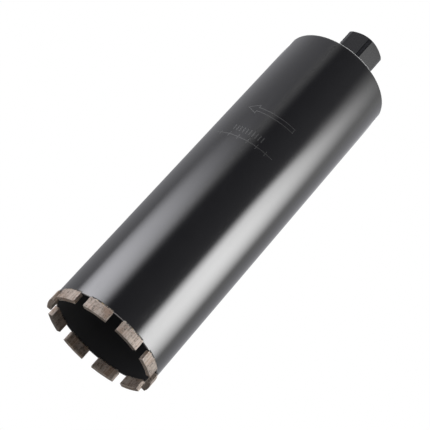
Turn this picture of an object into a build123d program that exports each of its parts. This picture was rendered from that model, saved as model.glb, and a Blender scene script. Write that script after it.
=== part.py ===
from build123d import *
import os
from math import degrees, radians, tan

# A diamond core bit that stands on its crown: the cutting faces lie in the
# plane z = 0, the axis is +Z and the drive hub is at the top. Millimetres.

# Barrel: a steel tube, open at the crown
barrel_diameter = 110.0
barrel_wall = 2.5
drilling_depth = 355.0      # from the cutting faces to the inside of the plate
rim_break = 0.3             # chamfer on both edges of the open rim
shoulder_bevel = 1.5        # chamfer on the outer edge at the hub end
shoulder_land = 0.2         # flat ring between that chamfer and the plate's weld

# Plate: a disc let into the hub end of the barrel and welded all round
plate_thickness = 6.0
plate_clearance = 0.15      # between the plate and the barrel, all round
weld_groove = 2.0           # width and depth of the bevel on the plate
bead_crown = 0.5            # how far a weld bead bulges past a flat surface

# Hub: turned from hexagon bar and bored right through for the drive thread
hub_flats = 41.0            # across the flats
hub_corners = 45.0          # across the turned-down corners
hub_length = 50.0           # from the plate to the end face
hub_end_diameter = 39.5     # end face, inside the chamfer
hub_chamfer = 35.0          # angle between the chamfer and the end face
hub_turn = 4.6              # angle from the first segment to the nearest flat
spigot_diameter = 38.0      # the end that stands in the plate
spigot_clearance = 0.1      # between the spigot and the plate, all round
thread_bore = 28.0          # minor diameter of the 1 1/4 inch drive thread
thread_mouth = 32.6         # countersink, a little over the major diameter
hub_weld_leg = 4.0          # width and height of the bead round the hub's foot

# Crown: curved sintered segments, each brazed on to the barrel's rim
segment_count = 10
segment_width = 24.0        # along the arc of the barrel's outside
segment_thickness = 4.5
segment_height = 10.0
segment_overhang = 1.0      # how far a segment stands out past the barrel
segment_bevel = 0.4         # on all the edges of a segment
seam_thickness = 0.3        # braze between a segment and the rim
seam_fillet = 0.6           # braze squeezed out along both sides of the seam

# Radii and levels that follow from the sizes above
barrel_outer = barrel_diameter / 2
barrel_inner = barrel_outer - barrel_wall
segment_outer = barrel_outer + segment_overhang
segment_inner = segment_outer - segment_thickness
segment_arc = degrees(segment_width / barrel_outer)
rim_level = segment_height + seam_thickness
plate_level = drilling_depth
shoulder_level = plate_level + plate_thickness
hub_level = shoulder_level + hub_length
weld_outer = barrel_outer - shoulder_bevel - shoulder_land


def turned(points, arc=360.0):
    """A solid turned about Z from an outline of (radius, height) points."""
    outline = make_face(Plane.XZ * Polyline(*points, close=True))
    return revolve(outline, Axis.Z, arc)


def make_barrel():
    """The tube: both rim edges broken, the shoulder bevelled inside and out."""
    return turned([
        (barrel_inner + rim_break, rim_level),
        (barrel_outer - rim_break, rim_level),
        (barrel_outer, rim_level + rim_break),
        (barrel_outer, shoulder_level - shoulder_bevel),
        (barrel_outer - shoulder_bevel, shoulder_level),
        (weld_outer, shoulder_level),
        (barrel_inner, shoulder_level - weld_groove),
        (barrel_inner, rim_level + rim_break),
    ])


def make_back_plate():
    """The disc: a hole for the hub's spigot and a bevel for the weld."""
    hole = spigot_diameter / 2 + spigot_clearance
    edge = barrel_inner - plate_clearance
    return turned([
        (hole, plate_level),
        (edge, plate_level),
        (edge, shoulder_level - weld_groove),
        (edge - weld_groove, shoulder_level),
        (hole, shoulder_level),
    ])


def make_plate_weld():
    """The bead that fills the groove between the plate and the barrel."""
    edge = barrel_inner - plate_clearance
    root_level = shoulder_level - weld_groove
    crown_level = shoulder_level + bead_crown
    weld_inner = edge - weld_groove
    return turned([
        (edge, root_level),
        (barrel_inner, root_level),
        (weld_outer, shoulder_level),
        (weld_outer - bead_crown, crown_level),
        (weld_inner + bead_crown, crown_level),
        (weld_inner, shoulder_level),
    ])


def make_hub():
    """The hub: a turned blank, milled to a hexagon above its round foot."""
    waist = hub_corners / 2
    spigot = spigot_diameter / 2
    bore = thread_bore / 2
    mouth = thread_mouth / 2
    end = hub_end_diameter / 2
    chamfer_depth = (waist - end) * tan(radians(hub_chamfer))
    blank = turned([
        (bore, plate_level),
        (spigot, plate_level),
        (spigot, shoulder_level),
        (waist, shoulder_level),
        (waist, hub_level - chamfer_depth),
        (end, hub_level),
        (mouth, hub_level),
        (bore, hub_level - (mouth - bore)),
    ])
    foot_height = plate_thickness + hub_weld_leg
    foot = Pos(0, 0, plate_level) * extrude(Circle(waist), foot_height)
    hexagon = RegularPolygon(hub_flats / 2, 6, major_radius=False, rotation=30)
    bar = Rot(0, 0, hub_turn) * extrude(hexagon, hub_length - hub_weld_leg)
    return blank & (foot + Pos(0, 0, plate_level + foot_height) * bar)


def make_hub_weld():
    """The slightly convex fillet bead round the hub's foot."""
    foot = hub_corners / 2
    middle = hub_weld_leg / 2 + bead_crown
    return turned([
        (foot, shoulder_level),
        (foot + hub_weld_leg, shoulder_level),
        (foot + middle, shoulder_level + middle),
        (foot, shoulder_level + hub_weld_leg),
    ])


def make_segment():
    """One segment, centred on the X axis, with all its edges bevelled."""
    block = turned([
        (segment_inner, 0),
        (segment_outer, 0),
        (segment_outer, segment_height),
        (segment_inner, segment_height),
    ], segment_arc)
    return Rot(0, 0, -segment_arc / 2) * chamfer(block.edges(), segment_bevel)


def make_seam():
    """The braze under one segment, with a small fillet along each side."""
    outside = min(seam_fillet, segment_outer - segment_bevel - barrel_outer)
    inside = min(seam_fillet, barrel_inner - segment_inner - segment_bevel)
    arc = segment_arc - 2 * degrees(segment_bevel / barrel_inner)
    break_level = rim_level + rim_break
    braze = turned([
        (barrel_inner - inside, segment_height),
        (barrel_outer + outside, segment_height),
        (barrel_outer, break_level + outside),
        (barrel_outer, break_level),
        (barrel_outer - rim_break, rim_level),
        (barrel_inner + rim_break, rim_level),
        (barrel_inner, break_level),
        (barrel_inner, break_level + inside),
    ], arc)
    return Rot(0, 0, -arc / 2) * braze


def make_parts():
    """Every piece of the bit, by name."""
    parts = {
        "barrel": make_barrel(),
        "back_plate": make_back_plate(),
        "plate_weld": make_plate_weld(),
        "hub": make_hub(),
        "hub_weld": make_hub_weld(),
    }
    segment = make_segment()
    seam = make_seam()
    for number in range(segment_count):
        place = Rot(0, 0, number * 360 / segment_count)
        parts[f"segment_{number + 1:02d}"] = place * segment
        parts[f"braze_seam_{number + 1:02d}"] = place * seam
    return parts


os.makedirs("parts", exist_ok=True)
for name, shape in make_parts().items():
    export_step(shape, f"parts/{name}.step")
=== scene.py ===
import bpy
import bmesh
import math
from mathutils import Matrix, Vector, noise


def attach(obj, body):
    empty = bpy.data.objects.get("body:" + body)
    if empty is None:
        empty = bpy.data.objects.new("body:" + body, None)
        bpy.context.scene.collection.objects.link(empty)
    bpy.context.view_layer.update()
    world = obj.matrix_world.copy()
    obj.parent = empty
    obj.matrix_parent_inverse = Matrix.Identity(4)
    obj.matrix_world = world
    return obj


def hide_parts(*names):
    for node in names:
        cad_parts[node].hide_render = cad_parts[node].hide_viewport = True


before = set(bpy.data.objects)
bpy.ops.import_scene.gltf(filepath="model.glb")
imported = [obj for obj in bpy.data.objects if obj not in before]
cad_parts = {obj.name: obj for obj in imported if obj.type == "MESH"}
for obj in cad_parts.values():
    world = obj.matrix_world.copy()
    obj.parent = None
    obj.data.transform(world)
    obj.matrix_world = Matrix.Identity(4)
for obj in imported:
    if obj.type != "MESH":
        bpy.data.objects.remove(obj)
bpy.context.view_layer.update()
scene = bpy.context.scene
mm = 0.001
fullTurn = math.radians(360)


class Wire:
    # a shader socket that takes part in sums
    def __init__(self, paint, socket):
        self.paint = paint
        self.socket = socket

    def sum(self, operation, *values):
        return self.paint.node("Math", {"operation": operation}, dict(enumerate(values)))

    def __add__(self, other):
        return self.sum("ADD", self, other)

    def __sub__(self, other):
        return self.sum("SUBTRACT", self, other)

    def __rsub__(self, other):
        return self.sum("SUBTRACT", other, self)

    def __mul__(self, other):
        return self.sum("MULTIPLY", self, other)

    def __lt__(self, other):
        return self.sum("LESS_THAN", self, other)

    def __gt__(self, other):
        return self.sum("GREATER_THAN", self, other)

    def __abs__(self):
        return self.sum("ABSOLUTE", self)

    __radd__ = __add__
    __rmul__ = __mul__

    def larger(self, other):
        return self.sum("MAXIMUM", self, other)

    def smaller(self, other):
        return self.sum("MINIMUM", self, other)

    def pingPong(self, half):
        # runs up to half and back down to 0, over and over
        return self.sum("PINGPONG", self, half)

    def between(self, low, high):
        return (self > low) * (self < high)

    def ramp(self, low, high):
        # 0 at low and 1 at high, smooth between them
        return self.paint.node("MapRange", {"interpolation_type": "SMOOTHSTEP"},
                               {"Value": self, "From Min": low, "From Max": high})


class Paint:
    # builds the nodes of a material, a lamp or the world
    def __init__(self, owner):
        self.owner = owner
        owner.use_nodes = True
        self.tree = owner.node_tree

    def node(self, kind, settings=None, sockets=None, output=0):
        made = self.tree.nodes.new("ShaderNode" + kind)
        for key, value in (settings or {}).items():
            setattr(made, key, value)
        self.feed(made, sockets or {})
        return Wire(self, made.outputs[output])

    def feed(self, target, sockets):
        for key, value in sockets.items():
            if isinstance(value, Wire):
                self.tree.links.new(value.socket, target.inputs[key])
            else:
                target.inputs[key].default_value = value

    def feedFirst(self, kind, sockets):
        # the node of that kind which the tree already has
        self.feed(next(made for made in self.tree.nodes if made.type == kind), sockets)
        return self.owner

    def spot(self, scale=(1 / mm, 1 / mm, 1 / mm), turn=(0, 0, 0)):
        # the point on the piece in millimetres, or stretched and turned
        point = self.node("TexCoord", output="Object")
        return self.node("Mapping", None, {"Vector": point, "Scale": scale, "Rotation": turn})

    def parts(self, point, names="XYZ"):
        return [self.node("SeparateXYZ", None, {"Vector": point}, name) for name in names]

    def axes(self):
        # the point on the piece as x, y and height in millimetres
        return self.parts(self.spot())

    def radius(self):
        # distance from the bit's axis in millimetres
        flat = self.spot((1 / mm, 1 / mm, 0))
        return self.node("VectorMath", {"operation": "LENGTH"}, {0: flat}, "Value")

    def azimuth(self, x, y):
        # degrees round the bit's axis, from -180 to 180
        return self.node("Math", {"operation": "ARCTAN2"}, {0: y, 1: x}) * math.degrees(1)

    def grain(self, size, detail=2.0, roughness=0.5, stretch=(1, 1, 1)):
        # noise about 0.5, whose features measure size millimetres
        point = self.spot([part / mm for part in stretch])
        return self.node("TexNoise", None, {"Vector": point, "Scale": 1 / size, "Detail": detail,
                                            "Roughness": roughness})

    def grains(self, pitch, size):
        # round grains, size being a share of their pitch in millimetres, and each one's own number
        cells = {"Vector": self.spot(), "Scale": 1 / pitch}
        near = self.node("TexVoronoi", None, cells, "Distance")
        number = self.node("TexVoronoi", None, cells, "Color")
        return near < size, self.parts(number, "X")[0]

    def blend(self, factor, first, second):
        # colours are blended here, because a sum turns them grey
        return self.node("Mix", {"data_type": "RGBA"}, {0: factor, 6: first, 7: second}, 2)

    def bump(self, height, distance):
        # distance is in millimetres
        return self.node("Bump", None, {"Height": height, "Distance": distance * mm})


def makePaint(name):
    return Paint(bpy.data.materials.new(name))


def tone(level):
    # a plain grey
    return (level, level, level, 1)


def direction(azimuth, elevation):
    across = math.cos(math.radians(elevation))
    return Vector((across * math.cos(math.radians(azimuth)),
                   across * math.sin(math.radians(azimuth)), math.sin(math.radians(elevation))))


def aimed(place, target, roll=0.0):
    # stands at place and looks at target
    turn = (Vector(target) - Vector(place)).to_track_quat("-Z", "Y").to_matrix().to_4x4()
    return Matrix.Translation(place) @ turn @ Matrix.Rotation(math.radians(roll), 4, "Z")


# The camera stands low in front of the crown and looks up along the barrel
photoView = {"azimuth": -87.04, "elevation": -27.1, "distance": 1.2039, "roll": 41.716,
             "aim": (0.00067, 0.00003, 0.16564), "lens": 112.04, "sensor": 36}


def makeCamera():
    lens = bpy.data.cameras.new("camera")
    lens.lens = photoView["lens"]
    lens.sensor_width = photoView["sensor"]
    camera = bpy.data.objects.new("camera", lens)
    scene.collection.objects.link(camera)
    aim = Vector(photoView["aim"])
    place = aim + direction(photoView["azimuth"], photoView["elevation"]) * photoView["distance"]
    camera.matrix_world = aimed(place, aim, photoView["roll"])
    scene.camera = camera


makeCamera()
print("camera placed")

# Lamps: azimuth is counted from the camera's side, places and sizes are in metres.
# The gloss boxes are only mirrored: the right and left one as the barrel's two streaks, the low ones
# as its streaks from above, and the top one as the glint on the shoulder. The fills light colour alone.
# fade says where a lamp's light falls off towards its left, right and top, as shares of its size.
# soften says how much wider the left fade gets towards the top.
lampPlaces = {
    "rightBox": {"azimuth": 69.5, "distance": 1.6, "low": 0.18, "high": 1.78, "width": 2.5,
                 "glow": 13.1, "fade": (0.12, 0.6, 0.734), "soften": 0.42, "kind": "gloss"},
    "leftBox": {"azimuth": -66, "distance": 1.6, "low": 0.18, "high": 1.2, "width": 2.8,
                "glow": 8.5, "fade": (0.42, 0.5, 1.0), "kind": "gloss"},
    "rightLowBox": {"azimuth": 74.5, "distance": 1.6, "low": -1.0, "high": 0.18, "width": 2.15,
                    "glow": 1.0, "fade": (0.05, 0.6, 0.01), "kind": "gloss"},
    "leftLowBox": {"azimuth": -75, "distance": 1.6, "low": -1.0, "high": 0.18, "width": 2.2,
                   "glow": 1.3, "fade": (0.5, 0.2, 0.01), "kind": "gloss"},
    "topBox": {"azimuth": 180, "elevation": 70, "distance": 1.6, "width": 1.0, "height": 1.5,
               "glow": 3.1, "fade": (0.45, 0.45, 0.3), "kind": "gloss"},
    "rightFill": {"azimuth": 74, "distance": 1.7, "low": 0.05, "high": 1.6, "width": 1.6,
                  "glow": 1.9, "fade": (0.1, 0.1, 0.1), "kind": "colour"},
    "leftFill": {"azimuth": -50, "distance": 1.7, "low": 0.05, "high": 1.6, "width": 1.6,
                 "glow": 2.45, "fade": (0.1, 0.1, 0.1), "kind": "colour"},
    "backFill": {"azimuth": 180, "distance": 1.9, "low": 0.3, "high": 1.9, "width": 1.6,
                 "glow": 2.0, "fade": (0.1, 0.1, 0.1), "kind": "colour"},
    "underFill": {"azimuth": -65, "elevation": -35, "distance": 1.3, "width": 1.0, "height": 1.0,
                  "glow": 1.5, "fade": (0.1, 0.1, 0.1), "kind": "colour"},
}
wattsPerGlow = math.pi  # for each square metre of lamp
coolWhite = (0.955, 0.955, 1.0)  # of the cards and of the lamps on the left
softenRange = (0.488, 0.711)  # the share of a lamp's height over which its left fade widens
tiltedAim = (0, 0, 0.2)  # where a lamp with an elevation points


def fadeLamp(light, fade, soften):
    # the light falls off towards the lamp's edges, as on a softbox
    paint = Paint(light)
    across, up = paint.parts(paint.node("NewGeometry", output="Parametric"), "XY")
    left, right, top = fade
    left = up.ramp(*softenRange) * soften + left
    share = across.ramp(0, left) * (1 - across).ramp(0, right) * (1 - up).ramp(0, top)
    paint.feedFirst("EMISSION", {"Strength": share})


def makeLamp(name, box):
    light = bpy.data.lights.new(name, "AREA")
    light.shape = "RECTANGLE"
    place = direction(photoView["azimuth"] + box["azimuth"], box.get("elevation", 0)) * box["distance"]
    target = Vector(tiltedAim)
    if "low" in box:
        place.z = (box["low"] + box["high"]) / 2
        target.z = place.z
    light.size = box["width"]
    light.size_y = box.get("height") or box["high"] - box["low"]
    light.energy = box["glow"] * light.size * light.size_y * wattsPerGlow
    if box["azimuth"] < 0:
        light.color = coolWhite
    fadeLamp(light, box["fade"], box.get("soften", 0))
    lamp = bpy.data.objects.new(name, light)
    scene.collection.objects.link(lamp)
    lamp.matrix_world = aimed(place, target)
    lamp.visible_camera = False
    lamp.visible_diffuse = box["kind"] == "colour"
    lamp.visible_glossy = box["kind"] == "gloss"
    return lamp


lamps = {name: makeLamp(name, box) for name, box in lampPlaces.items()}

# World: white where it is seen, grey where it lights the bit
skyLight = {"seen": 1.0, "lit": 0.07}


def makeWorld():
    world = bpy.data.worlds.new("studio")
    scene.world = world
    paint = Paint(world)
    seen = paint.node("LightPath", output="Is Camera Ray")
    for kind in ("Is Glossy Ray", "Is Transmission Ray"):
        seen = seen.larger(paint.node("LightPath", output=kind))
    strength = seen * (skyLight["seen"] - skyLight["lit"]) + skyLight["lit"]
    paint.feedFirst("BACKGROUND", {"Color": tone(1), "Strength": strength})


makeWorld()
scene.view_settings.view_transform = "Standard"

# Floor: its shadow is seen from above, and it is open to a camera that looks up from below.
# It fades out between two distances from the bit, in millimetres.
floorPlace = {"radius": 2.0, "level": -0.6 * mm, "fade": (380, 1450), "paper": tone(0.55), "lift": 0.5}


def makeFloor():
    bm = bmesh.new()
    bmesh.ops.create_circle(bm, cap_ends=True, segments=64, radius=floorPlace["radius"],
                            matrix=Matrix.Translation((0, 0, floorPlace["level"])))
    mesh = bpy.data.meshes.new("floor")
    bm.to_mesh(mesh)
    bm.free()
    floor = bpy.data.objects.new("floor", mesh)
    scene.collection.objects.link(floor)
    paint = makePaint("floorPaper")
    above = 1 - paint.node("NewGeometry", output="Backfacing")
    seen = paint.node("LightPath", output="Is Camera Ray")
    near = 1 - paint.radius().ramp(*floorPlace["fade"])
    paper = paint.node("BsdfDiffuse", None, {"Color": floorPlace["paper"]})
    lift = paint.node("Emission", None, {"Color": tone(1), "Strength": floorPlace["lift"]})
    paper = paint.node("AddShader", None, {0: paper, 1: lift})
    clear = paint.node("BsdfTransparent")
    mixed = paint.node("MixShader", None, {0: above * seen * near, 1: clear, 2: paper})
    paint.feedFirst("OUTPUT_MATERIAL", {"Surface": mixed})
    mesh.materials.append(paint.owner)


makeFloor()

# Cards stand in a ring and are mirrored too: the dark one as the black band down the barrel's middle,
# the grey and the pale one as its edges, the upper one as its left side near the hub, and the low
# one in the cutting faces. Widths and fades are in degrees, and glow is given for left and right.
cardPlaces = {
    "darkCard": {"azimuth": 2, "halfWidth": 49, "distance": 1.45, "low": -0.9, "high": 2.2,
                 "glow": (0.18, 0.36), "fade": 21},
    "greyCard": {"azimuth": -135, "halfWidth": 42, "distance": 1.9, "low": -0.9, "high": 2.2,
                 "glow": (0.42, 0.85), "fade": 12},
    "upperCard": {"azimuth": -76, "halfWidth": 31, "distance": 2.05, "low": -0.9, "high": 2.4,
                  "glow": (0.84, 0.84), "fade": 12},
    "paleCard": {"azimuth": 140, "halfWidth": 32, "distance": 1.9, "low": -0.9, "high": 2.2,
                 "glow": (0.92, 0.7), "fade": 14},
    "lowCard": {"azimuth": 180, "halfWidth": 55, "distance": 1.8, "low": -1.9, "high": -0.15,
                "glow": (0.12, 0.12), "fade": 10},
}
cardSteps = 24
glowRange = (-0.8, 0.6)  # from left to right glow, as shares of a card's half width


def makeCard(name, place):
    half = place["halfWidth"]
    bm = bmesh.new()
    start = direction(photoView["azimuth"] + place["azimuth"] - half, 0) * place["distance"]
    foot = bm.verts.new((start.x, start.y, place["low"]))
    head = bm.verts.new((start.x, start.y, place["high"]))
    edge = bm.edges.new((foot, head))
    bmesh.ops.spin(bm, geom=[foot, head, edge], cent=(0, 0, 0), axis=(0, 0, 1),
                   angle=math.radians(2 * half), steps=cardSteps)
    mesh = bpy.data.meshes.new(name)
    bm.to_mesh(mesh)
    bm.free()
    card = bpy.data.objects.new(name, mesh)
    scene.collection.objects.link(card)
    paint = makePaint(name + "Felt")
    # the card's middle is turned on to the X axis to find how far across it a point lies
    point = paint.spot(turn=(0, 0, -math.radians(photoView["azimuth"] + place["azimuth"])))
    turn = paint.azimuth(*paint.parts(point, "XY"))
    first, last = [[glow * part for part in coolWhite] + [1] for glow in place["glow"]]
    colour = paint.blend(turn.ramp(glowRange[0] * half, glowRange[1] * half), first, last)
    felt = paint.node("Emission", None, {"Color": colour})
    gone = abs(turn).ramp(half - place["fade"], half)
    mixed = paint.node("MixShader", None, {0: gone, 1: felt, 2: paint.node("BsdfTransparent")})
    paint.feedFirst("OUTPUT_MATERIAL", {"Surface": mixed})
    mesh.materials.append(paint.owner)
    card.visible_camera = False
    card.visible_diffuse = False
    card.visible_shadow = False
    card.visible_transmission = False


for name, place in cardPlaces.items():
    makeCard(name, place)
print("studio made")

# Shared steps of the pieces. Their sizes are in millimetres, apart from the gaps of a cut.
mergeGap = 0.002
onPlaneGap = 2e-6  # metres, within which a corner lies on a cut
cutGap = 1e-7  # metres, within which a cut takes the corners that are there


def outline(bm, points, closed=True):
    # a chain of (radius, height) corners that stands on the X axis
    corners = [bm.verts.new((radius * mm, 0, height * mm)) for radius, height in points]
    following = corners[1:] + corners[:1] if closed else corners[1:]
    for pair in zip(corners, following):
        bm.edges.new(pair)
    return corners


def everything(bm):
    return bm.verts[:] + bm.edges[:] + bm.faces[:]


def roundCorners(bm, corners, size, segments):
    bmesh.ops.bevel(bm, geom=corners, offset=size * mm, offset_type="OFFSET", affect="VERTICES",
                    segments=segments, profile=0.5, material=-1)


def spinAll(bm, steps, angle=360.0, start=0.0):
    geometry = everything(bm)
    if start:
        bmesh.ops.rotate(bm, verts=bm.verts[:], cent=(0, 0, 0),
                         matrix=Matrix.Rotation(math.radians(start), 3, "Z"))
    bmesh.ops.spin(bm, geom=geometry, cent=(0, 0, 0), axis=(0, 0, 1), angle=math.radians(angle),
                   steps=steps, use_merge=angle == 360)


def ringPlace(vert):
    # radius, azimuth in radians and height of a corner
    return math.hypot(vert.co.x, vert.co.y) / mm, math.atan2(vert.co.y, vert.co.x), vert.co.z / mm


def moveTo(vert, radius, azimuth, height):
    vert.co = Vector((radius * math.cos(azimuth), radius * math.sin(azimuth), height)) * mm


def lumps(vert, size, shift=0.0):
    # uneven by -1 to 1, in lumps that measure size millimetres
    return noise.noise(vert.co / (size * mm) + Vector((shift, shift, shift)))


def finishPiece(bm, name, paint, node, sharp=32.0):
    # sharp is the angle in degrees past which an edge isn't shaded smooth
    bmesh.ops.remove_doubles(bm, verts=bm.verts[:], dist=mergeGap * mm)
    bmesh.ops.recalc_face_normals(bm, faces=bm.faces[:])
    mesh = bpy.data.meshes.new(name)
    for face in bm.faces:
        face.smooth = True
    bm.to_mesh(mesh)
    bm.free()
    mesh.set_sharp_from_angle(angle=math.radians(sharp))
    mesh.materials.append(paint)
    piece = bpy.data.objects.new(name, mesh)
    scene.collection.objects.link(piece)
    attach(piece, "root")
    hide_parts(node)
    return piece


# Black lacquer, shared by the barrel, the plate, the hub and the welds
coat = {"dark": (0.0054, 0.0054, 0.0075, 1), "dusty": (0.0094, 0.0094, 0.0112, 1), "rough": 0.12,
        "ior": 1.54, "cloud": 28, "cloudRough": 0.05, "rub": 9, "rubRough": 0.06,
        "peel": 1.4, "peelHeight": 0.004}


def lacquer(paint, rough):
    # clouds of dust, rubbed streaks and faint orange peel; gives colour, roughness and height
    cloud = paint.grain(coat["cloud"], detail=4, roughness=0.6)
    rubbedAndSheen = paint.grain(coat["rub"], detail=5, roughness=0.7, stretch=(1, 1, 0.25)).ramp(0.52, 0.8)
    colour = paint.blend(cloud, coat["dark"], coat["dusty"])
    rough = rough + cloud * coat["cloudRough"] + rubbedAndSheen * coat["rubRough"]
    return colour, rough, paint.grain(coat["peel"], detail=3)


# Barrel: the tube, its rounded shoulder and rim, the dull bore, the bare steel along the rim,
# and marks etched in the lacquer: an arrow, a row of short bars and a rule with ticks.
# The marks' middle is in degrees from the camera's side, and they run along the barrel's girth.
barrel = {
    "outer": 55.0, "inner": 52.5, "rim": 10.3, "shoulder": 361.0, "weldEdge": 53.3, "groove": 2.0,
    "rimRound": 0.4, "rimSegments": 4, "shoulderRound": 1.65, "shoulderSegments": 8,
    "shoulderStretch": 1.5, "steps": 288,
    "bore": {"colour": (0.0072, 0.0070, 0.0080, 1), "dark": (0.0030, 0.0030, 0.0038, 1), "rough": 0.9,
             "edge": (52.7, 53.6), "streak": 6},
    "bareRim": {"steel": (0.27, 0.26, 0.25, 1), "metal": 0.6, "rough": 0.5, "height": 0.3,
                "uneven": 0.8, "lump": 2.5, "depth": -1.5},
    "marks": {"colour": tone(0.040), "rough": 0.28, "depth": -0.6, "middle": -23, "patch": 5,
              "arrowLevel": 252.4, "arrowHalf": 26.0, "arrowLine": 0.9, "head": 12.0, "headHalf": 6.0,
              "shaftHalf": 2.7, "barLevel": 225.0, "barHalf": 3.1, "barWidth": 1.1, "barPitch": 3.4,
              "barRange": (-21.0, 12.0), "ruleLevel": 215.8, "ruleWidth": 0.9, "ruleRange": (-36.0, 28.0),
              "tickHalf": 2.86, "tickWidth": 0.8, "tickPitch": 10.0},
}


def arrowShape(across, up, inset):
    # a filled arrow that points left, drawn in by inset all round
    marks = barrel["marks"]
    half = marks["arrowHalf"]
    neck = -half + marks["head"]
    slope = marks["headHalf"] / marks["head"]
    lean = inset * math.hypot(1, slope)
    head = across.between(-half, neck - inset) * (abs(up) < (across + half) * slope - lean)
    shaft = across.between(neck - inset * 1.5, half - inset) * (abs(up) < marks["shaftHalf"] - inset)
    return head.larger(shaft)


def etchMask(paint, x, y, height):
    marks = barrel["marks"]
    middle = photoView["azimuth"] + marks["middle"]
    across = (paint.azimuth(x, y) - middle) * math.radians(barrel["outer"])
    up = height - marks["arrowLevel"]
    arrow = arrowShape(across, up, 0) * (1 - arrowShape(across, up, marks["arrowLine"]))
    bars = across.pingPong(marks["barPitch"] / 2) < marks["barWidth"] / 2
    bars = bars * across.between(*marks["barRange"])
    bars = bars * (abs(height - marks["barLevel"]) < marks["barHalf"])
    # a long thin rule with a tick at each centimetre
    off = abs(height - marks["ruleLevel"])
    ticks = across.pingPong(marks["tickPitch"] / 2) < marks["tickWidth"] / 2
    rule = (off < marks["ruleWidth"] / 2).larger(ticks * (off < marks["tickHalf"]))
    rule = rule * across.between(*marks["ruleRange"])
    return arrow.larger(bars).larger(rule)


def paintBarrel():
    bore, rim, marks = [barrel[part] for part in ("bore", "bareRim", "marks")]
    paint = makePaint("barrelLacquer")
    x, y, height = paint.axes()
    radius = paint.radius()
    colour, rough, peel = lacquer(paint, coat["rough"])
    # the etched marks are dull and a little lighter, and fade where the laser ran weak
    outside = radius > barrel["outer"] - 0.5
    weak = paint.grain(marks["patch"], detail=3).ramp(0.05, 0.45)
    etched = etchMask(paint, x, y, height) * outside * weak
    colour = paint.blend(etched, colour, marks["colour"])
    rough = rough + etched * (marks["rough"] - coat["rough"])
    # the bore has only a thin dull coat
    inside = 1 - radius.ramp(*bore["edge"])
    streaks = paint.grain(bore["streak"], detail=4, roughness=0.6, stretch=(1, 1, 0.1))
    colour = paint.blend(inside, colour, paint.blend(streaks, bore["dark"], bore["colour"]))
    rough = rough + inside * (bore["rough"] - coat["rough"])
    # bare steel shows along the rim's edge
    wander = (paint.grain(rim["lump"], detail=5, roughness=0.7) - 0.5) * rim["uneven"]
    bare = (height < barrel["rim"] + rim["height"] + wander) * (radius > barrel["outer"] - 1.0)
    colour = paint.blend(bare, colour, rim["steel"])
    rough = rough + bare * (rim["rough"] - coat["rough"])
    relief = peel + etched * marks["depth"] + bare * rim["depth"]
    return paint.feedFirst("BSDF_PRINCIPLED", {
        "Base Color": colour, "Roughness": rough, "Metallic": bare * rim["metal"], "IOR": coat["ior"],
        "Normal": paint.bump(relief, coat["peelHeight"])})


def makeBarrel():
    bm = bmesh.new()
    corners = outline(bm, [(barrel["inner"], barrel["rim"]), (barrel["outer"], barrel["rim"]),
                           (barrel["outer"], barrel["shoulder"]),
                           (barrel["weldEdge"], barrel["shoulder"]),
                           (barrel["inner"], barrel["shoulder"] - barrel["groove"])])
    roundCorners(bm, corners[:2], barrel["rimRound"], barrel["rimSegments"])
    roundCorners(bm, corners[2:3], barrel["shoulderRound"], barrel["shoulderSegments"])
    for vert in bm.verts:
        # the shoulder's round is taller than it is wide
        depth = barrel["shoulder"] - vert.co.z / mm
        if vert.co.x > barrel["weldEdge"] * mm and depth < barrel["shoulderRound"] + 0.01:
            vert.co.z = (barrel["shoulder"] - depth * barrel["shoulderStretch"]) * mm
    spinAll(bm, barrel["steps"])
    finishPiece(bm, "barrelTube", paintBarrel(), "barrel")


makeBarrel()
print("barrel made")

# Segments: sintered blocks with worn edges, ground on the outside, whose edges are painted lighter,
# partly as wear and partly as a painted highlight. Grain sizes are in millimetres, and the shares say how
# much of a colour is laid over the ones before.
segment = {
    "count": 10, "inner": 51.5, "outer": 56.0, "height": 10.0, "arc": 25.0, "steps": 40, "rows": 14,
    "round": 0.28, "wear": 0.16, "wearReach": 0.8, "wearLump": 1.6, "uneven": 0.035, "lump": 2.4,
    "dark": (0.070, 0.055, 0.045, 1), "light": (0.450, 0.350, 0.283, 1), "rust": (0.36, 0.235, 0.155, 1),
    "pale": (0.53, 0.45, 0.38, 1), "wornAndHighlight": (0.74, 0.66, 0.58, 1), "grit": (0.60, 0.54, 0.45, 1),
    "mottle": 1.9, "patch": 13, "line": 0.55, "score": 1.5, "edgePatch": 2.4,
    "stonePitch": 0.74, "stoneSize": 0.24, "pitPitch": 2.6, "pitSize": 0.19,
    "lineShare": 0.3, "rustShare": 0.65, "scoreShare": 0.2, "groundShare": 0.5, "stoneShare": 0.7,
    "wornAndHighlightShare": 0.7, "pitShare": 0.5, "darkFaceShare": 0.75, "darkFaceEvery": 4, "darkFaceHeight": 0.35,
    "metal": 0.12, "rough": 0.45, "mottleRough": 0.3, "reliefHeight": 0.05,
}


def edgeDistance(radius, turn, height):
    # millimetres to the nearest edge: the second smallest of the distances to a segment's faces
    turn = turn.pingPong(180 / segment["count"])
    ends = (segment["arc"] / 2 - turn) * math.radians(segment["outer"])
    across = (radius - segment["inner"]).smaller(segment["outer"] - radius)
    up = height.smaller(segment["height"] - height)
    return across.smaller(up).larger(across.larger(up).smaller(ends))


def darkFaceMask(paint, turn, height):
    # one segment's cutting face in a few is darker; the count starts and ends in a gap
    gap = 180 / segment["count"]
    place = paint.node("Math", {"operation": "WRAP"}, {0: turn + gap, 1: 360, 2: 0}) - gap
    waves = math.radians(segment["count"] / segment["darkFaceEvery"])
    wave = paint.node("Math", {"operation": "COSINE"}, {0: place * waves})
    patch = paint.grain(segment["edgePatch"], detail=3).ramp(0.25, 0.45)
    return wave.ramp(0.1, 0.8) * (height < segment["darkFaceHeight"]) * patch


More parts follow.
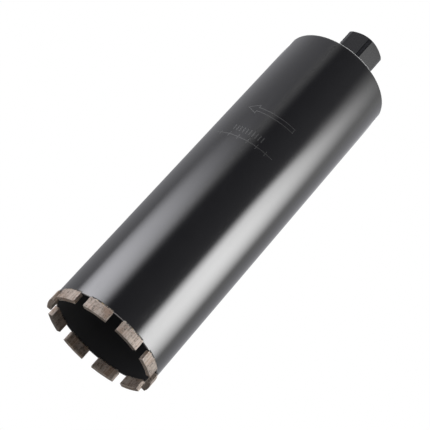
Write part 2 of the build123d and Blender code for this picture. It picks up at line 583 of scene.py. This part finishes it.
def paintSegments():
    look = segment
    paint = makePaint("sinteredMetal")
    x, y, height = paint.axes()
    turn = paint.azimuth(x, y)
    mottle = paint.grain(look["mottle"], detail=5, roughness=0.72)
    broad = paint.grain(look["patch"])
    lines = paint.grain(look["line"], detail=3, roughness=0.6, stretch=(1, 1, 0.05))
    scores = paint.grain(look["score"], stretch=(1, 1, 0.07))
    near = 1 - edgeDistance(paint.radius(), turn, height).ramp(0.15, 0.6)
    # the pale edges are partly wear and partly a painted highlight along the bevels
    wornAndHighlight = near * paint.grain(look["edgePatch"], detail=3).ramp(0.3, 0.55)
    # diamond grit: small pale grains that stand a little proud, and the pits that lost theirs
    grit, pick = paint.grains(look["stonePitch"], look["stoneSize"])
    stones = grit * (pick > 0.72)
    pores, pick = paint.grains(look["pitPitch"], look["pitSize"])
    pits = pores * (pick < 0.55)
    colour = paint.blend(mottle.ramp(0.36, 0.57), look["dark"], look["light"])
    colour = paint.blend(lines.ramp(0.35, 0.7) * look["lineShare"], colour, look["light"])
    # some parts are more copper-coloured and some paler, in patches as long as half a segment
    colour = paint.blend(broad.ramp(0.50, 0.62) * look["rustShare"], colour, look["rust"])
    colour = paint.blend((1 - broad).ramp(0.52, 0.64) * mottle.ramp(0.2, 0.6), colour, look["pale"])
    # dark scores and pale ground stripes run up the segments
    colour = paint.blend(scores.ramp(0.40, 0.60) * look["scoreShare"], colour, look["dark"])
    colour = paint.blend((1 - scores).ramp(0.48, 0.62) * look["groundShare"], colour, look["pale"])
    colour = paint.blend(stones * look["stoneShare"], colour, look["grit"])
    colour = paint.blend(wornAndHighlight * look["wornAndHighlightShare"], colour, look["wornAndHighlight"])
    colour = paint.blend(pits * look["pitShare"], colour, look["dark"])
    colour = paint.blend(darkFaceMask(paint, turn, height) * look["darkFaceShare"], colour, look["dark"])
    relief = mottle * 0.5 + lines * 0.9 + stones * 0.5 - pits * 0.7
    return paint.feedFirst("BSDF_PRINCIPLED", {
        "Base Color": colour, "Metallic": look["metal"],
        "Roughness": look["rough"] + mottle * look["mottleRough"],
        "Normal": paint.bump(relief, look["reliefHeight"])})


def makeSegment(number, paint):
    shape = segment
    bm = bmesh.new()
    corners = outline(bm, [(shape["inner"], 0), (shape["outer"], 0), (shape["outer"], shape["height"]),
                           (shape["inner"], shape["height"])])
    bm.faces.new(corners)
    middle = number * 360 / shape["count"]
    spinAll(bm, shape["steps"], shape["arc"], middle - shape["arc"] / 2)
    bmesh.ops.recalc_face_normals(bm, faces=bm.faces[:])
    edges = [edge for edge in bm.edges if edge.calc_face_angle(0) > 1]
    bmesh.ops.bevel(bm, geom=edges, offset=shape["round"] * mm, offset_type="OFFSET", affect="EDGES",
                    segments=3, profile=0.5, material=-1)
    # rows across the height, so that the surface can be uneven
    for row in range(1, shape["rows"]):
        level = row * shape["height"] * mm / shape["rows"]
        bmesh.ops.bisect_plane(bm, geom=everything(bm), dist=cutGap, plane_co=(0, 0, level),
                               plane_no=(0, 0, 1))
    for vert in bm.verts:
        radius, azimuth, height = ringPlace(vert)
        turn = math.degrees((azimuth - math.radians(middle) + math.pi) % fullTurn - math.pi)
        ends = (shape["arc"] / 2 - abs(turn)) * math.radians(radius)
        gaps = sorted([shape["outer"] - radius, radius - shape["inner"], height,
                       shape["height"] - height, ends])
        # the edges are worn in places, and the faces are a little uneven all over
        near = max(0.0, 1 - gaps[1] / shape["wearReach"])
        wornAndHighlight = max(0.0, lumps(vert, shape["wearLump"]) + 0.25) * shape["wear"] * near
        pull = wornAndHighlight + (lumps(vert, shape["lump"], 5) + 0.6) * shape["uneven"]
        vert.co -= vert.normal * pull * mm
    label = f"{number + 1:02d}"
    finishPiece(bm, "sinteredSegment_" + label, paint, "segment_" + label, 40)


segmentPaint = paintSegments()
for number in range(segment["count"]):
    makeSegment(number, segmentPaint)
print("segments made")

# Braze: an uneven bead along both sides of each seam, with the barrel's lacquer on its upper lip.
# Only corners past the outside or bore radius and above the still height are uneven.
braze = {
    "arc": 24.1, "steps": 90, "uneven": 0.18, "lump": 2.2, "outside": 55.04, "bore": 52.45,
    "still": 10.05, "coatFrom": 10.95, "coatUneven": 0.4,
    "points": [(51.9, 10.0), (55.6, 10.0), (55.45, 10.5), (55.2, 10.95), (55.1, 11.1),
               (55.2, 11.28), (55.18, 11.45), (55.0, 11.7), (54.95, 10.65), (54.7, 10.3),
               (52.8, 10.3), (52.5, 10.6), (52.5, 11.2), (52.38, 10.75), (52.2, 10.4)],
    "scale": (0.040, 0.034, 0.030, 1), "silver": (0.60, 0.56, 0.50, 1), "gold": (0.50, 0.37, 0.20, 1),
    "patch": 1.8, "spot": 3.4, "reliefHeight": 0.05,
}


def paintBraze():
    paint = makePaint("brazeMetal")
    patch = paint.grain(braze["patch"], detail=4, roughness=0.6)
    clean = patch.ramp(0.47, 0.60)
    metal = paint.blend(paint.grain(braze["spot"]).ramp(0.4, 0.6), braze["silver"], braze["gold"])
    colour = paint.blend(clean, braze["scale"], metal)
    wander = paint.grain(2.2, detail=3) * braze["coatUneven"]
    coated = paint.axes()[2] > wander + braze["coatFrom"]
    colour = paint.blend(coated, colour, coat["dark"])
    bare = 1 - coated
    return paint.feedFirst("BSDF_PRINCIPLED", {
        "Base Color": colour, "Metallic": (0.2 + clean * 0.1) * bare,
        "Roughness": (0.42 - clean * 0.22) * bare + 0.2,
        "Normal": paint.bump(patch, braze["reliefHeight"])})


def makeSeam(number, paint):
    bm = bmesh.new()
    bm.faces.new(outline(bm, braze["points"]))
    middle = number * 360 / segment["count"]
    spinAll(bm, braze["steps"], braze["arc"], middle - braze["arc"] / 2)
    for vert in bm.verts:
        radius, azimuth, height = ringPlace(vert)
        lift = lumps(vert, braze["lump"], number) * braze["uneven"]
        if radius > braze["outside"] and height > braze["still"]:
            moveTo(vert, radius + lift, azimuth, height + lift)
        elif radius < braze["bore"] and height > braze["still"]:
            moveTo(vert, radius - lift, azimuth, height + lift)
    label = f"{number + 1:02d}"
    finishPiece(bm, "brazeBead_" + label, paint, "braze_seam_" + label)


brazePaint = paintBraze()
for number in range(segment["count"]):
    makeSeam(number, brazePaint)
print("braze made")

# Hub: turned, milled to a hexagon with turned corners, and tapped right through.
# The thread's crest, flank and root are shares of its pitch.
hub = {
    "corner": 22.5, "flat": 20.5, "sides": 6, "turn": 4.6, "spigot": 19.0, "land": 17.3, "mouth": 16.3,
    "plate": 355.0, "shoulder": 361.0, "foot": 365.0, "top": 411.0, "end": 19.75, "chamfer": 35.0,
    "steps": 240,
    "thread": {"minor": 14.0, "major": 15.875, "pitch": 25.4 / 7, "crest": 0.25, "flank": 0.3125,
               "root": 0.125, "steps": 60},
    "rough": 0.2, "ior": 1.39, "reliefHeight": 0.005, "bareEdge": (16.2, 16.6), "bareRough": 0.14,
    "bareMetal": 0.95, "steel": (0.40, 0.38, 0.36, 1), "oil": (0.20, 0.18, 0.16, 1), "oilPatch": 7,
    "rubbedAndSheen": (0.024, 0.024, 0.029, 1), "rubbedSheenEdge": (26.5, 28), "rubbedSheenPatch": 4,
    "milled": 0.5, "milledDepth": 1.2,
}


def paintHub():
    paint = makePaint("hubLacquer")
    x, y, height = paint.axes()
    colour, rough, peel = lacquer(paint, hub["rough"])
    # the lacquer is rubbed thin down the middle of the turned corners, and its lighter colour there is
    # also a painted highlight
    turn = (paint.azimuth(x, y) - hub["turn"]).pingPong(180 / hub["sides"])
    patch = paint.grain(hub["rubbedSheenPatch"], detail=3).ramp(0.2, 0.5)
    rubbedAndSheen = turn.ramp(*hub["rubbedSheenEdge"]) * patch * (height > hub["foot"])
    colour = paint.blend(rubbedAndSheen, colour, hub["rubbedAndSheen"])
    # the thread is bare, oiled steel
    bare = 1 - paint.radius().ramp(*hub["bareEdge"])
    oil = paint.grain(hub["oilPatch"], detail=4, roughness=0.6)
    colour = paint.blend(bare, colour, paint.blend(oil, hub["oil"], hub["steel"]))
    milled = paint.grain(hub["milled"], stretch=(1, 1, 0.04)) * hub["milledDepth"]
    return paint.feedFirst("BSDF_PRINCIPLED", {
        "Base Color": colour, "Roughness": rough + bare * hub["bareRough"],
        "Metallic": bare * hub["bareMetal"], "IOR": hub["ior"],
        "Normal": paint.bump(peel + milled, hub["reliefHeight"])})


def cutFlats(bm):
    flat = hub["flat"] * mm
    foot = hub["foot"] * mm
    normals = [direction(hub["turn"] + side * 360 / hub["sides"], 0) for side in range(hub["sides"])]
    for normal in normals:
        bmesh.ops.bisect_plane(bm, geom=everything(bm), dist=cutGap, plane_co=normal * flat,
                               plane_no=normal)
    for normal in normals:
        past = []
        for face in bm.faces:
            centre = face.calc_center_median()
            if centre.dot(normal) > flat + 1e-6 and centre.z > foot:
                past.append(face)
        bmesh.ops.delete(bm, geom=past, context="FACES")
        # the flat is closed above a chord, and the foot's land beside it
        rim = [edge for edge in bm.edges if edge.is_boundary
               and all(vert.co.dot(normal) > flat - 1e-6 for vert in edge.verts)]
        onPlane = [edge for edge in rim
                   if all(abs(vert.co.dot(normal) - flat) < onPlaneGap for vert in edge.verts)]
        ends = [vert for vert in {vert for edge in onPlane for vert in edge.verts}
                if abs(vert.co.z - foot) < onPlaneGap]
        chord = bm.edges.new(ends)
        bmesh.ops.contextual_create(bm, geom=onPlane + [chord])
        arc = [edge for edge in rim if edge not in onPlane]
        bmesh.ops.contextual_create(bm, geom=arc + [chord])


def makeThread(bm):
    # one turn's outline, spun upwards so that each turn meets the one before
    thread = hub["thread"]
    pitch = thread["pitch"]
    turns = math.ceil((hub["top"] - hub["plate"]) / pitch) + 2
    start = hub["plate"] - 1.5 * pitch
    crest, flank = [pitch * thread[part] for part in ("crest", "flank")]
    before = set(bm.verts)
    outline(bm, [(thread["minor"], start), (thread["minor"], start + crest),
                 (thread["major"], start + crest + flank),
                 (thread["major"], start + pitch * (thread["crest"] + thread["root"]) + flank),
                 (thread["minor"], start + pitch)], False)
    first = [vert for vert in bm.verts if vert not in before]
    edges = list({edge for vert in first for edge in vert.link_edges})
    bmesh.ops.spin(bm, geom=first + edges, cent=(0, 0, 0), axis=(0, 0, 1), angle=fullTurn * turns,
                   dvec=(0, 0, pitch * mm / thread["steps"]), steps=thread["steps"] * turns)
    made = [vert for vert in bm.verts if vert not in before]
    bmesh.ops.remove_doubles(bm, verts=made, dist=0.02 * mm)
    for level, side in ((hub["plate"], -1), (hub["top"], 1)):
        made = [vert for vert in bm.verts if vert not in before]
        geometry = made + list({edge for vert in made for edge in vert.link_edges})
        geometry += list({face for vert in made for face in vert.link_faces})
        bmesh.ops.bisect_plane(bm, geom=geometry, dist=1e-6, plane_co=(0, 0, level * mm),
                               plane_no=(0, 0, side), clear_outer=True)
    for vert in bm.verts:
        if vert not in before:
            # the countersink widens the thread's mouth
            radius, azimuth, height = ringPlace(vert)
            moveTo(vert, max(radius, hub["mouth"] - (hub["top"] - height)), azimuth, height)


def makeHub():
    bm = bmesh.new()
    rise = (hub["corner"] - hub["end"]) * math.tan(math.radians(hub["chamfer"]))
    outline(bm, [(hub["land"], hub["plate"]), (hub["spigot"], hub["plate"]),
                 (hub["spigot"], hub["shoulder"]), (hub["corner"], hub["shoulder"]),
                 (hub["corner"], hub["foot"]), (hub["corner"], hub["top"] - rise),
                 (hub["end"], hub["top"]), (hub["land"], hub["top"])], False)
    spinAll(bm, hub["steps"], 360, hub["turn"])
    bmesh.ops.remove_doubles(bm, verts=bm.verts[:], dist=1e-6)
    cutFlats(bm)
    makeThread(bm)
    for level in (hub["plate"], hub["top"]):
        # the ring between the thread's mouth and the land
        loops = [edge for edge in bm.edges if edge.is_boundary
                 and all(abs(vert.co.z - level * mm) < onPlaneGap for vert in edge.verts)]
        bmesh.ops.triangle_fill(bm, edges=loops, use_beauty=True, normal=(0, 0, 1))
    finishPiece(bm, "driveHub", paintHub(), "hub", 20)


makeHub()
print("hub made")

# Weld beads, rippled where the torch went round. The first few points, as many as still says, and
# the last one lie on the neighbours and don't move. Heights and lumps are in millimetres.
welds = {
    "hubBead": {"slot": "hub_coating", "node": "hub_weld", "steps": 432, "ripples": 54, "height": 0.16,
                "still": 2, "points": [(22.5, 361.0), (26.5, 361.0), (26.15, 362.2), (25.2, 363.4),
                                       (24.0, 364.45), (22.5, 365.0)]},
    "plateBead": {"slot": "plate_coating", "node": "plate_weld", "steps": 720, "ripples": 116,
                  "height": 0.13, "still": 3,
                  "points": [(52.35, 359.0), (52.5, 359.0), (53.3, 361.0), (52.9, 361.3), (52.2, 361.45),
                             (51.4, 361.45), (50.75, 361.3), (50.35, 361.0)]},
}
ripple = {"bend": 0.5, "wander": 0.35, "wanderLump": 9, "crest": 0.6, "sink": 0.75, "uneven": 0.05,
          "lump": 5, "spread": 0.5}
# The plate keeps its own shape, with the lathe's rings under the lacquer
plateLook = {"rough": 0.22, "rings": 0.9}
beadLook = {"rough": 0.16, "rings": 0}
steelCoat = {"ringTurns": 9, "reliefHeight": 0.006}  # ringTurns is radians of a wave per millimetre


def paintSteelCoat(name, look):
    paint = makePaint(name)
    colour, rough, peel = lacquer(paint, look["rough"])
    wave = paint.node("Math", {"operation": "SINE"}, {0: paint.radius() * steelCoat["ringTurns"]})
    return paint.feedFirst("BSDF_PRINCIPLED", {
        "Base Color": colour, "Roughness": rough, "IOR": coat["ior"],
        "Normal": paint.bump(peel + wave * look["rings"], steelCoat["reliefHeight"])})


def makeWeld(name, shape, paint):
    bm = bmesh.new()
    outline(bm, shape["points"])
    spinAll(bm, shape["steps"])
    fixed = shape["points"][:shape["still"]] + shape["points"][-1:]
    crown = [point[0] for point in shape["points"][shape["still"]:-1]]
    middle = sum(crown) / len(crown)
    for vert in bm.verts:
        radius, azimuth, height = ringPlace(vert)
        if min(abs(radius - point[0]) + abs(height - point[1]) for point in fixed) > 0.05:
            # each ripple is a crescent that trails at the bead's sides
            trail = ((radius - middle) / 2) ** 2 * ripple["bend"]
            wander = lumps(vert, ripple["wanderLump"]) * ripple["wander"]
            phase = (azimuth / fullTurn * shape["ripples"] + trail + wander) % 1
            lift = shape["height"] * (phase ** ripple["crest"] - ripple["sink"])
            lift += lumps(vert, ripple["lump"]) * ripple["uneven"]
            moveTo(vert, radius + lift * ripple["spread"], azimuth, height + lift)
    return finishPiece(bm, name, paint, shape["node"], 60)


beadPaint = paintSteelCoat("beadLacquer", beadLook)
beads = {name: makeWeld(name, shape, beadPaint) for name, shape in welds.items()}
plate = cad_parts["back_plate"]
plate.data.materials.clear()
plate.data.materials.append(paintSteelCoat("plateLacquer", plateLook))

# The two bright boxes are for the barrel: the flat plate would glare in them when seen from behind
shaded = bpy.data.collections.new("shadedPieces")
for piece in (plate, beads["plateBead"]):
    shaded.objects.link(piece)
for entry in shaded.collection_objects:
    entry.light_linking.link_state = "EXCLUDE"
for name in ("leftBox", "rightBox"):
    lamps[name].light_linking.receiver_collection = shaded
print("welds and plate made")
